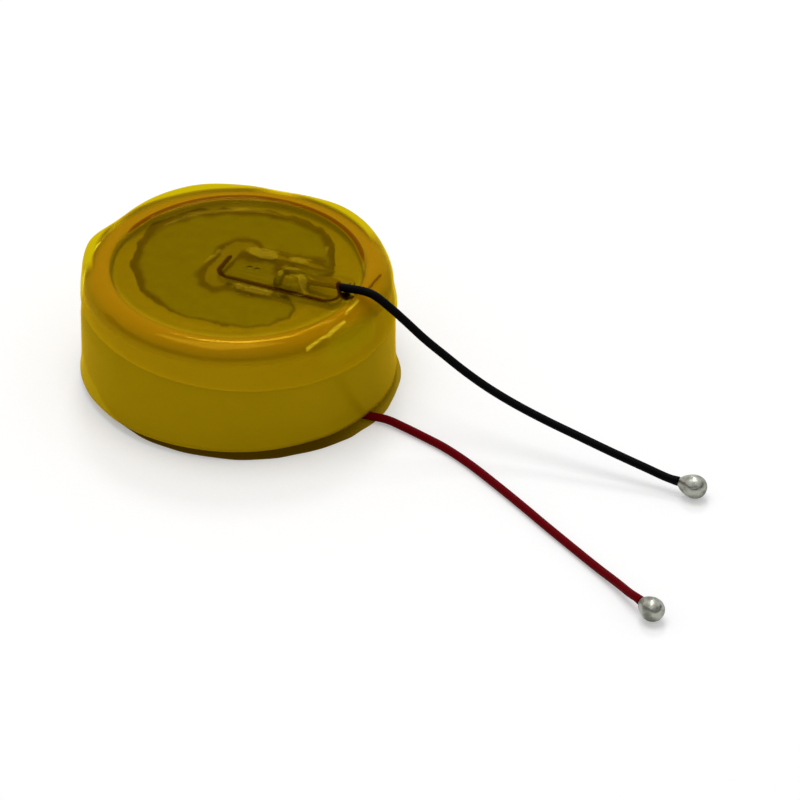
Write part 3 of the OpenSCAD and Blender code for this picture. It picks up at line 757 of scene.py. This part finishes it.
def wall_heights(bottom, steps=22):
    """Heights from the free edge up to the rolled mouth, and how far the wall may sway there."""
    heights = [bottom + (neck_top - bottom) * i / steps for i in range(steps + 1)]
    return [(z, max(0, 1 - (z - bottom) / EDGE_SWAY_H) ** 2 * EDGE_SWAY) for z in heights]


def lean(z):
    """How far the can's wall leans in at a height."""
    return NECK_IN * min(1, max(0, (z - neck_z) / NECK_H))


outer_wall = [(sleeve_r - lean(z), z, sway, 0) for z, sway in wall_heights(sleeve_z)]
inner_wall = [(r - film_t, z, sway, 0) for r, z, sway, up in reversed(outer_wall)]
sleeve_profile = (
    outer_wall[:-1] + bend(rim_flat_r, neck_top, CRIMP_R + FIT + film_t, 0, 90)
    + [(lip_r, sleeve_top, 0, 0), (lip_r, sleeve_top - film_t, 0, 0)]
    + bend(rim_flat_r, neck_top, CRIMP_R + FIT, 90, 0) + inner_wall[1:] + outer_wall[:1])
pieces["wrapped_sleeve"] = grow("wrapped_sleeve", profile("wrapped_sleeve", sleeve_profile), turned,
                                Material=sleeve_film, Segments=240, Ripple_Size=3 * MM, Seed=2.0)

FOOT_TRIM, FOOT_SHIFT = 0.26, (0.07, 0)  # the hand-cut disc is smaller, and its edge sways outwards
FOOT_CALM, FOOT_SWAY = 0.6, 1.6          # share of its radius that keeps round, and growth past that
foot_low, foot_high = box_mm("bottom_film")
foot_r = (foot_high[0] - foot_low[0]) / 2
foot_steps = [foot_r * i / 24 for i in range(24)] + [foot_r - 0.05, foot_r - 0.1 / 3, foot_r]
foot_sway = [max(0, r / foot_r - FOOT_CALM) ** 2 * FOOT_SWAY for r in foot_steps]
foot_under = [(r - FOOT_TRIM * r / foot_r, 0, sway, 0) for r, sway in zip(foot_steps, foot_sway)]
foot_over = [(r, film_t, sway, 0) for r, z, sway, up in reversed(foot_under)]
foot_middle = Matrix.Translation(Vector((*(foot_low + foot_high)[:2] / 2 + FOOT_SHIFT, 0)) * MM)
pieces["foot_disc"] = grow("foot_disc", profile("foot_disc", foot_under + foot_over), turned, foot_middle,
                           Material=foot_film, Segments=200, Ripple_Size=2.2 * MM, Seed=7.0)

# %% [markdown]
# ## The covering film
# This is the piece that gives the object its look: a round of film laid on top,
# stuck to the cap in the middle, stretched over the step up to the rim, lifted by the
# strip, the solder and the lead, folded down the side as a skirt, and standing off as
# a brim where it was cut wide. A cloth simulation would need all of these as bodies a
# few hundredths apart. The film's height over each of them is simple to say, so it is
# written as a rule, on spokes from the middle to the skirt's edge.

# %% The covering film's rule
COVER_MARGIN, COVER_SHIFT, COVER_DIR = 1.28, 0.62, -45
LOOSE_W = 1.3
cover_z = sleeve_top + FIT
skirt_r = sleeve_r + FIT
brow_r = skirt_r - NECK_IN
stuck_r = lip_r - LOOSE_W


def ease(x):
    """0 below 0, 1 above 1, and a soft step between."""
    t = np.clip(x, 0, 1)
    return t * t * (3 - 2 * t)


def bump_at(a, centre, half):
    """A soft bump of 1 at an angle, gone at the half width on both sides, in degrees."""
    return ease(1 - np.abs((a - centre + 540) % 360 - 180) / half)


def plan(r, a):
    """Plan coordinates of a radius and an angle in degrees."""
    return r * np.cos(np.radians(a)), r * np.sin(np.radians(a))


def polar(x, y):
    """Angle in degrees and radius of a plan point."""
    return np.degrees(np.arctan2(y, x)), np.hypot(x, y)


def strip_frame(x, y):
    """Plan coordinates along and across the upper strip, from the middle of its outer end."""
    c, s = math.cos(STRIP_DIR), math.sin(STRIP_DIR)
    return x * c + y * s - upper_reach, -x * s + y * c - UPPER_OFFSET


def strip_distance(x, y):
    """How far a plan point lies outside the strip's outline."""
    along, across = strip_frame(x, y)
    past_end, past_side = np.abs(along + STRIP_L / 2) - STRIP_L / 2, np.abs(across) - STRIP_W / 2
    inside = np.minimum(np.maximum(past_end, past_side), 0)
    return np.hypot(np.maximum(past_end, 0), np.maximum(past_side, 0)) + inside


def along_line(x, y, start, end):
    """Share of the way along a plan line, and the distance beside it."""
    run = np.array(end[:2]) - np.array(start[:2])
    t = np.clip(((x - start[0]) * run[0] + (y - start[1]) * run[1]) / (run @ run), 0, 1)
    return t, np.hypot(x - start[0] - t * run[0], y - start[1] - t * run[1])


lead_start = np.array(NEGATIVE_ROUTE[0])
exit_at = lead_start * 1.8 - np.array(NEGATIVE_ROUTE[1]) * 0.8
strands_at = np.array(bare_end(LEADS["negative"])) / MM
pool_at = np.array(bare_end(LEADS["negative"], SOLDER_OVERLAP)) / MM
lifted = np.array((0, 0, WIRE_D / 2 + 0.07))
under_lead = np.array((6.35, -3.13, 6.68))


def rim_point(angle, above):
    """A point over the rim at an angle, a little above the film's rest height."""
    return np.array((*plan(rim_flat_r + 0.1, angle), cover_z + above))


RIDGES = [  # start, end and half width
    (strands_at + lifted, exit_at + lifted, 0.7),
    (under_lead, rim_point(-58.5, 0.05), 0.6), (under_lead, rim_point(-5, 0.02), 0.6)]
TENT_GAP, TENT_RUN = 0.35, 0.7  # how far past the strip the film stays up, and comes down in


def film_under(r, a):
    """Height of the film's underside at a radius and an angle in degrees, inside the rim."""
    x, y = plan(r, a)
    base = cap_z + FIT + (cover_z - cap_z - FIT) * ease((r - stuck_r) / LOOSE_W)
    along, across = strip_frame(x, y)
    tent = (ease(1 - (np.abs(across) - STRIP_W / 2 - TENT_GAP) / TENT_RUN)
            * ease(1 + (along + STRIP_L + TENT_GAP) / TENT_RUN) * ease(1 - (along - TENT_GAP) / TENT_RUN))
    over_strip = ease((lip_r + 0.6 - r) / 1.2) * (STRIP_T + FIT) * tent
    on_strip = ease((STRIP_W / 2 + 0.25 - np.abs(across)) / 0.35)
    by_pool = ease(1.25 - np.hypot(x - pool_at[0], y - pool_at[1]) / (POOL_D * 0.62))
    lifts = [over_strip + (POOL_H + 0.1) * on_strip * by_pool]
    for start, end, half in RIDGES:
        t, beside = along_line(x, y, start, end)
        lifts.append((start[2] + t * (end[2] - start[2]) - base) * ease(1.25 - beside / half))
    return base + np.maximum.reduce(lifts)


FULL_FOLD, FOLD_SHARE = CRIMP_R + film_t + 2 * FIT, 0.9
BRIMS = [  # middle and half width in degrees, how much tighter the fold is, how far the film leans out
    (111, 44, 0.6, 1.0), (163, 25, 0.64, 0.6), (44, 34, 0.5, 0.0)]


def corner(a):
    """Radius of the fold over the rim; where it is tight, the film stands off as a brim."""
    tighter = sum(tight * bump_at(a, middle, half) for middle, half, tight, out in BRIMS)
    return FULL_FOLD * (FOLD_SHARE - tighter)


def skirt(a):
    """Length of film left to hang once it has folded down."""
    flat_reach = can_r + COVER_MARGIN + COVER_SHIFT * np.cos(np.radians(a - COVER_DIR))
    return flat_reach - (brow_r - corner(a)) - corner(a) * math.pi / 2


def skirt_at(z):
    """Radius of the skirt at a height, beside the leaning wall."""
    return skirt_r - NECK_IN * np.clip((z - neck_z) / NECK_H, 0, 1)


print("skirt, mm:", [round(float(skirt(a)), 2) for a in (-135, -45, 45, 135)])

# %% [markdown]
# ## Creases and ripples
# A flat film that is pulled over an edge keeps sharp creases, and slack film ripples.
# Both belong to the film and not to the shape below it, so they are laid out on the
# flat film, where a point is its angle and its distance from the middle along the
# film. Each crease is a narrow ridge that stands up from the film.

# %% Creases and ripples
CREASES = [  # start and end on the flat film, height and half width
    ((6.5, -2.6), (3.3, -8.7), 0.12, 0.36),
    ((6.2, -3.3), (4.4, -5.0), 0.06, 0.16),
    ((6.9, -2.9), (8.4, -0.6), 0.08, 0.25),
    ((7.3, -4.3), (8.0, -5.4), 0.10, 0.5)]
RIPPLES_PER_MM, RIPPLE_SLICE = 0.55, 3.7  # how close the ripples lie, and which cut of the noise they are


def crease_height(u, v):
    """How far the creases lift the film at a point of the flat film."""
    heights = []
    for start, end, height, half in CREASES:
        t, beside = along_line(u, v, start, end)
        heights.append(height * (1 - t ** 3) * np.clip(1 - beside / half, 0, 1) ** 1.5)
    return np.maximum.reduce(heights)


def ripple_height(u, v, slack):
    """Slow ripples, never inwards, as high as the film is slack there."""
    spots = zip(u.ravel() * RIPPLES_PER_MM, v.ravel() * RIPPLES_PER_MM)
    wave = np.array([noise.noise(Vector((*spot, RIPPLE_SLICE))) for spot in spots])
    return slack * (0.5 + 0.5 * wave.reshape(u.shape))


print("creases:", len(CREASES))

# %% [markdown]
# ## Where the adhesive has wetted the cap
# The dark patch is an outline about the middle, with a bite where the strip and the
# lead hold the film up. It is one of the few shapes here that only the real object
# can give, so its radius is a short list of angles. The strip keeps the film dry in a
# narrow margin along its edges, wider round its free end.

# %% Where the adhesive has wetted the cap
PATCH = [  # angle in degrees and radius in mm
    (-180, 5.55), (-160, 5.35), (-140, 5.25), (-120, 5.2), (-104, 5.2), (-85, 5.38), (-73, 5.5),
    (-66, 5.15), (-59, 5.3), (-52, 4.95), (-47, 4.0), (-43, 3.2), (-36, 3.0), (-28, 3.6), (-18, 4.5),
    (-6, 4.95), (8, 5.05), (26, 5.5), (41, 5.74), (57, 5.68), (74, 5.65), (92, 5.7), (113, 5.92),
    (133, 6.0), (152, 5.82), (170, 5.6)]
DRY_SPOTS = [  # middle and half sizes in mm
    (1.35, 1.15, 0.6, 0.22), (3.2, 0.65, 0.45, 0.16), (2.45, -0.3, 0.22, 0.3)]


def wetted_depth(x, y):
    """How many millimetres a plan point lies inside the wetted patch."""
    angle, radius = polar(x, y)
    reach = np.interp(angle, *zip(*PATCH), period=360) - radius
    along, across = strip_frame(x, y)
    margin = 0.2 + np.maximum(0.7 * ease(1.2 - (along + STRIP_L) / 0.9),
                              0.35 * ease(-across / 0.5) * ease(2 - (along + STRIP_L) / 2))
    beside = strip_distance(x, y)
    reach = np.minimum(reach, np.maximum(beside - margin, -3 * beside))
    for spot_x, spot_y, half_x, half_y in DRY_SPOTS:
        spot = (np.hypot((x - spot_x) / half_x, (y - spot_y) / half_y) - 1) * min(half_x, half_y)
        reach = np.minimum(reach, spot)
    return reach


print("wetted at the middle, mm:", round(float(wetted_depth(np.array(-3.0), np.array(0.0))), 2))

# %% [markdown]
# ## The film's other marks
# Each mark on the film has its own place. A painted shadow runs along the strip, at the
# lead's way out and in one crease, and a painted shadow line lies over the cap's step. Air
# is left beside the strip, while pale spots on the solder, below the strip and under the
# lead are painted highlights, as are the lines along the creases. Slack film stands off as
# a tent or a brim. A pattern could not know these places, so each is a short rule: how many
# millimetres a point lies inside the mark. The shader turns that distance into a soft edge.

# %% The film's other marks
SEAM_WIDE, SEAM_THIN, SEAM_CORNER = 0.13, 0.02, 0.6  # reach, less of it by the pool, corner radius
# Pale spots: air under the film beside the strip, and painted highlights: three on the solder pool, a long one
# below the strip, and one under the lead's way out.
AIR_AND_HIGHLIGHT_SPOTS = [  # middle, half sizes in mm and turn in degrees
    ((1.3, 1.25), (0.9, 0.5), -18), ((3.1, 0.62), (0.7, 0.22), -25), ((2.24, -1.35), (0.1, 0.42), 5),
    ((2.75, -1.05), (0.42, 0.14), -20), ((3.35, -2.1), (0.2, 0.55), 20), ((0.95, -2.15), (1.2, 0.2), -22),
    ((-1.2, 1.33), (0.13, 0.75), -35), ((5.9, -2.88), (0.24, 0.12), -30), ((4.6, 1.74), (0.13, 0.34), -12)]
# The creases' painted highlight lines and the tent's two sides, from start to end.
CREASE_HIGHLIGHTS = [((6.2, -3.55), (5.55, -4.7)), ((5.5, -5.1), (4.7, -6.11)), ((4.7, -6.11), (3.6, -6.97))]
TENT_SIDES = [((6.6, -4.05), (3.5, -7.01)), ((8.3, -0.8), (7.0, -2.7))]


def shadow_seam_depth(x, y):
    """Inside the painted shadow of the seam: at the lead's way out, along the strip, and in one crease."""
    at_lead = 0.28 - along_line(x, y, lead_start + (0.02, -0.1, 0), lead_start + (0.38, -0.58, 0))[1]
    in_crease = np.minimum(0.05 - along_line(x, y, (6.75, -2.3), (7.35, -0.75))[1], 0.01)
    along, across = strip_frame(x, y)
    half_l, half_w = STRIP_L / 2 + SEAM_WIDE, STRIP_W / 2
    past = np.hypot(np.maximum(np.abs(along + half_l) - half_l + SEAM_CORNER, 0),
                    np.maximum(np.abs(across) - half_w + SEAM_CORNER, 0)) - SEAM_CORNER
    by_pool = ease(1.9 - np.hypot(x - pool_at[0], y - pool_at[1]) / 0.8)
    faded = np.maximum(ease((across - 0.35) / 0.4), ease((along + 0.1) / 0.3))
    by_strip = SEAM_WIDE - SEAM_THIN * by_pool - np.abs(past - 0.05 - 0.17 * by_pool) - 0.2 * faded
    return np.maximum.reduce([np.minimum(by_strip, 0.02), at_lead, in_crease])


def air_and_highlight_depth(x, y):
    """Inside a pale patch: air left under the film, or a painted highlight."""
    depths = []
    for (mid_x, mid_y), (half_x, half_y), turn in AIR_AND_HIGHLIGHT_SPOTS:
        c, s = plan(1, turn)
        p, q = (x - mid_x) * c + (y - mid_y) * s, -(x - mid_x) * s + (y - mid_y) * c
        depths.append((1 - np.hypot(p / half_x, q / half_y)) * min(half_x, half_y))
    return np.maximum.reduce(depths)


def brim_depth(x, y):
    """Out on a brim, where the film is clear of the rim."""
    angle, radius = polar(x, y)
    standing = np.maximum.reduce([bump_at(angle, middle, half) for middle, half, *_ in BRIMS])
    return np.minimum(0.5 * standing - 0.05, radius - brow_r + 0.72 - 0.3 * bump_at(angle, 152, 62))


def crease_highlight_depth(x, y):
    """Inside the painted highlight lines along the creases."""
    return 0.11 - np.minimum.reduce([along_line(x, y, start, end)[1] for start, end in CREASE_HIGHLIGHTS])


def step_shadow_depth(x, y):
    """Inside the painted shadow line over the cap's step, which is widest at the back."""
    angle, radius = polar(x, y)
    half = 0.21 * np.minimum(4 * bump_at(angle, 78, 100), 1) + 0.05 * bump_at(angle, 95, 50) - 0.04
    return half - np.abs(radius - lip_r + 0.11)


def tented_depth(x, y):
    """Beyond the creases that run from the lead, where the film is a tent."""
    depths = []
    for start, end in TENT_SIDES:
        run = (np.array(end) - start) / math.dist(start, end)
        depths.append((y - start[1]) * run[0] - (x - start[0]) * run[1])
    return np.minimum.reduce(depths)


MARK_DEPTHS = {"wetted": wetted_depth, "seam": shadow_seam_depth, "airy": air_and_highlight_depth, "tented": tented_depth,
               "brim": brim_depth, "crease": crease_highlight_depth, "step": step_shadow_depth}
print("marks on the film:", list(MARK_DEPTHS))

# %% [markdown]
# ## The covering film's mesh
# The spokes stand closer together about the lead's way out, where the creases are.
# Each spoke has three parts: over the cap and up to the rim, round the fold, and down
# the skirt. Only the underside is laid out as points. A Solidify modifier gives it the
# film's thickness, and a Boolean cuts the hole that the lead comes out of.

# %% The covering film's mesh
FLAT_RINGS, TURN_RINGS, HANG_RINGS = 65, 14, 20
FINE_ARC, FINE_STEP, COARSE_SPOKES = (-46, 34), 0.5, 150  # degrees beside the lead's way out


def shares(count):
    """Even shares of a way, from the first after its start to 1."""
    return np.linspace(0, 1, count + 1)[1:][None, :]


def cover_surface():
    """Rings of points from the middle to the skirt's edge, and how deep they lie in each mark."""
    exit_angle = math.degrees(math.atan2(exit_at[1], exit_at[0]))
    fine = exit_angle + np.arange(*FINE_ARC, FINE_STEP)
    coarse = exit_angle + np.linspace(FINE_ARC[1], FINE_ARC[0] + 360, COARSE_SPOKES, endpoint=False)
    a = np.concatenate([fine, coarse])[:, None]
    c = corner(a)
    brow = brow_r + NECK_IN * sum(out * bump_at(a, middle, half) for middle, half, tight, out in BRIMS)
    r_turn, z_turn = brow - c, cover_z - c

    flat = shares(FLAT_RINGS) * r_turn
    turn = shares(TURN_RINGS)
    bent = math.pi / 2 * (1 - turn) + 0 * a
    lift = (film_under(r_turn, a) - cover_z) * ease(1 - 1.5 * turn)
    hang = shares(HANG_RINGS)
    down = hang * (skirt(a) - brow + brow_r)
    peel = 0.04 + 0.06 * bump_at(a, 205, 40)
    sections = [  # radius, height, way along the film, and the angle that its outside faces
        (flat, film_under(flat, a), flat, np.full_like(flat, math.pi / 2)),
        (r_turn + c * np.cos(bent), z_turn + c * np.sin(bent) + lift,
         r_turn + c * (math.pi / 2 - bent), bent),
        (np.maximum(skirt_at(z_turn - down), brow) + peel * hang ** 2, z_turn - down,
         r_turn + c * math.pi / 2 + down, 0 * down)]
    r, z, s, n = (np.concatenate(parts, axis=1) for parts in zip(*sections))

    u, v = plan(s, a)
    slack = 0.006 + 0.03 * ease((s - stuck_r) / 1.5) + 0.02 * ease((s - rim_flat_r) / 1.2)
    proud = crease_height(u, v) + ripple_height(u, v, slack)
    x, y = plan(r + proud * np.cos(n), a)
    return x, y, z + proud * np.sin(n), {name: depth(x, y) for name, depth in MARK_DEPTHS.items()}


def cover_mesh():
    """The surface as a mesh of quads, closed in the middle, with the marks' depths on its points."""
    x, y, z, depths = cover_surface()
    spokes, rings = x.shape
    middle = float(film_under(np.array(0.0), np.array(0.0)))
    points = np.concatenate([np.stack([x, y, z], -1).reshape(-1, 3), [[0, 0, middle]]]) * MM
    faces = []
    for i in range(spokes):
        here, beside = i * rings, (i + 1) % spokes * rings
        faces.append((spokes * rings, here, beside))
        faces += [(here + j, here + j + 1, beside + j + 1, beside + j) for j in range(rings - 1)]
    mesh = bpy.data.meshes.new("cover_surface")
    mesh.from_pydata(points.tolist(), [], faces)
    for name, depth in depths.items():
        marks = mesh.attributes.new(name, "FLOAT", "POINT")
        marks.data.foreach_set("value", np.append(depth.ravel(), depth[:, 0].mean()))
    mesh.materials.append(cover_film)
    mesh.shade_smooth()
    return mesh


HOLE_ROOM = 0.06


def cover_piece():
    """The film with its thickness, and with the hole that the negative lead comes out of."""
    source = new_object("covering_film_source", cover_mesh())
    wall = source.modifiers.new("thickness", "SOLIDIFY")
    wall.thickness = film_t * MM
    wall.offset = 1
    wall.use_even_offset = True
    room = dict(LEAD_SIZES, Diameter=(WIRE_D + HOLE_ROOM) * MM)
    way_out = line("lead_room", LEADS["negative"][:8])
    cutter = grow("lead_room", way_out, swept, Material=black_jacket, **room)
    hole = source.modifiers.new("lead_hole", "BOOLEAN")
    hole.operation = "DIFFERENCE"
    hole.object = cutter
    hole.solver = "EXACT"
    film = plain_copy(source, "covering_film", Matrix())
    bpy.data.objects.remove(cutter)
    return film


pieces["covering_film"] = cover_piece()

# %% [markdown]
# ## Every piece takes its node's place
# Each new piece hides the node that it stands for and rides on the one body. The
# table also lists that node's material slot.

# %% Every piece takes its node's place
PLACES = {
    "covering_film": ("top_film", "amber_film"), "foot_disc": ("bottom_film", "amber_film"),
    "wrapped_sleeve": ("side_sleeve", "amber_sleeve"),
    "negative_jacket": ("negative_lead", "black_insulation"),
    "positive_jacket": ("positive_lead", "red_insulation"),
    "negative_wires": ("negative_strands", "tinned_copper"),
    "positive_wires": ("positive_strands", "tinned_copper"),
    "negative_solder_pool": ("negative_solder", "solder"),
    "positive_solder_pool": ("positive_solder", "solder"),
    "negative_solder_bead": ("negative_bead", "solder"),
    "positive_solder_bead": ("positive_bead", "solder")}
for name, (node, slot) in PLACES.items():
    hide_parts(node)
    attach(pieces[name], "root")
print("pieces in place:", len(PLACES))

# %% [markdown]
# ## Light and floor
# A white room and one broad lamp overhead light the object evenly, at a level where a
# colour looks about as it is written. The picture's background is white. The floor
# keeps the object's shadow, so it is only lifted a little for the eye and for what
# reflects it. A bent dark card stands round the front, far out, and only what gleams
# can see it. Without it the film's gloss would show white paper all over; with it the
# gleam ends in darker edges, as it does in a real room.

# %% Light and floor
def seen(tree):
    """1 for rays from the camera and for what metal and glass show, else 0."""
    path = add(tree, "ShaderNodeLightPath").outputs
    share = path["Is Camera Ray"]
    for ray in ("Is Glossy Ray", "Is Transmission Ray"):
        share = add(tree, "ShaderNodeMath", {0: share, 1: path[ray]}, operation="MAXIMUM")
    return share


ROOM_LIGHT, FLOOR_LIFT = 0.5, 0.3
world = bpy.data.worlds.new("white room")
world.use_nodes = True
world.node_tree.nodes.clear()
level = add(world.node_tree, "ShaderNodeMapRange", {0: seen(world.node_tree), 3: ROOM_LIGHT, 4: 1.0})
room = add(world.node_tree, "ShaderNodeBackground", {"Color": (1, 1, 1, 1), "Strength": level})
add(world.node_tree, "ShaderNodeOutputWorld", {"Surface": room})
bpy.context.scene.world = world

paper, tree = new_material("pale floor")
matt = add(tree, "ShaderNodeBsdfDiffuse", {"Color": colour("#e6e6e6")})
lift = add(tree, "ShaderNodeMath", {0: seen(tree), 1: FLOOR_LIFT}, operation="MULTIPLY")
glow = add(tree, "ShaderNodeEmission", {"Color": (1, 1, 1, 1), "Strength": lift})
surface = add(tree, "ShaderNodeAddShader", {0: matt, 1: glow})
add(tree, "ShaderNodeOutputMaterial", {"Surface": surface})

black_paper, tree = new_material("black paper")
matt = add(tree, "ShaderNodeBsdfDiffuse", {"Color": colour("#1c1c1b")})
add(tree, "ShaderNodeOutputMaterial", {"Surface": matt})


def studio_mesh(name, points, faces, material):
    """A mesh of the studio as an object, with its points given in millimetres."""
    mesh = bpy.data.meshes.new(name)
    mesh.from_pydata([Vector(point) * MM for point in points], [], faces)
    mesh.materials.append(material)
    return new_object(name, mesh)


FLOOR_HALF, FLOOR_DROP = 600, 0.01
corners = [(FLOOR_HALF * x, FLOOR_HALF * y, -FLOOR_DROP) for x, y in ((-1, -1), (1, -1), (1, 1), (-1, 1))]
floor = studio_mesh("floor", corners, [(0, 1, 2, 3)], paper)

CARD_R, CARD_LOW, CARD_HIGH = 420, 60, 230
card_steps = range(-200, 30, 10)
card = studio_mesh("dark card", [(*plan(CARD_R, a), z) for a in card_steps for z in (CARD_LOW, CARD_HIGH)],
                   [(2 * i, 2 * i + 1, 2 * i + 3, 2 * i + 2) for i in range(len(card_steps) - 1)], black_paper)
card.visible_camera = card.visible_diffuse = card.visible_shadow = card.visible_transmission = False


def lamp(name, size, power, place):
    """A square lamp that faces the cell."""
    data = bpy.data.lights.new(name, "AREA")
    data.size, data.energy = size * MM, power
    holder = new_object(name, data)
    holder.location = Vector(place) * MM
    holder.rotation_euler = (-holder.location).to_track_quat("-Z", "Y").to_euler()


lamp("overhead", 260, 0.7, (-40, 60, 450))
lamp("behind", 90, 0.26, (10, 260, 330))
bpy.context.scene.view_settings.view_transform = "Standard"
print("lamps: 2")
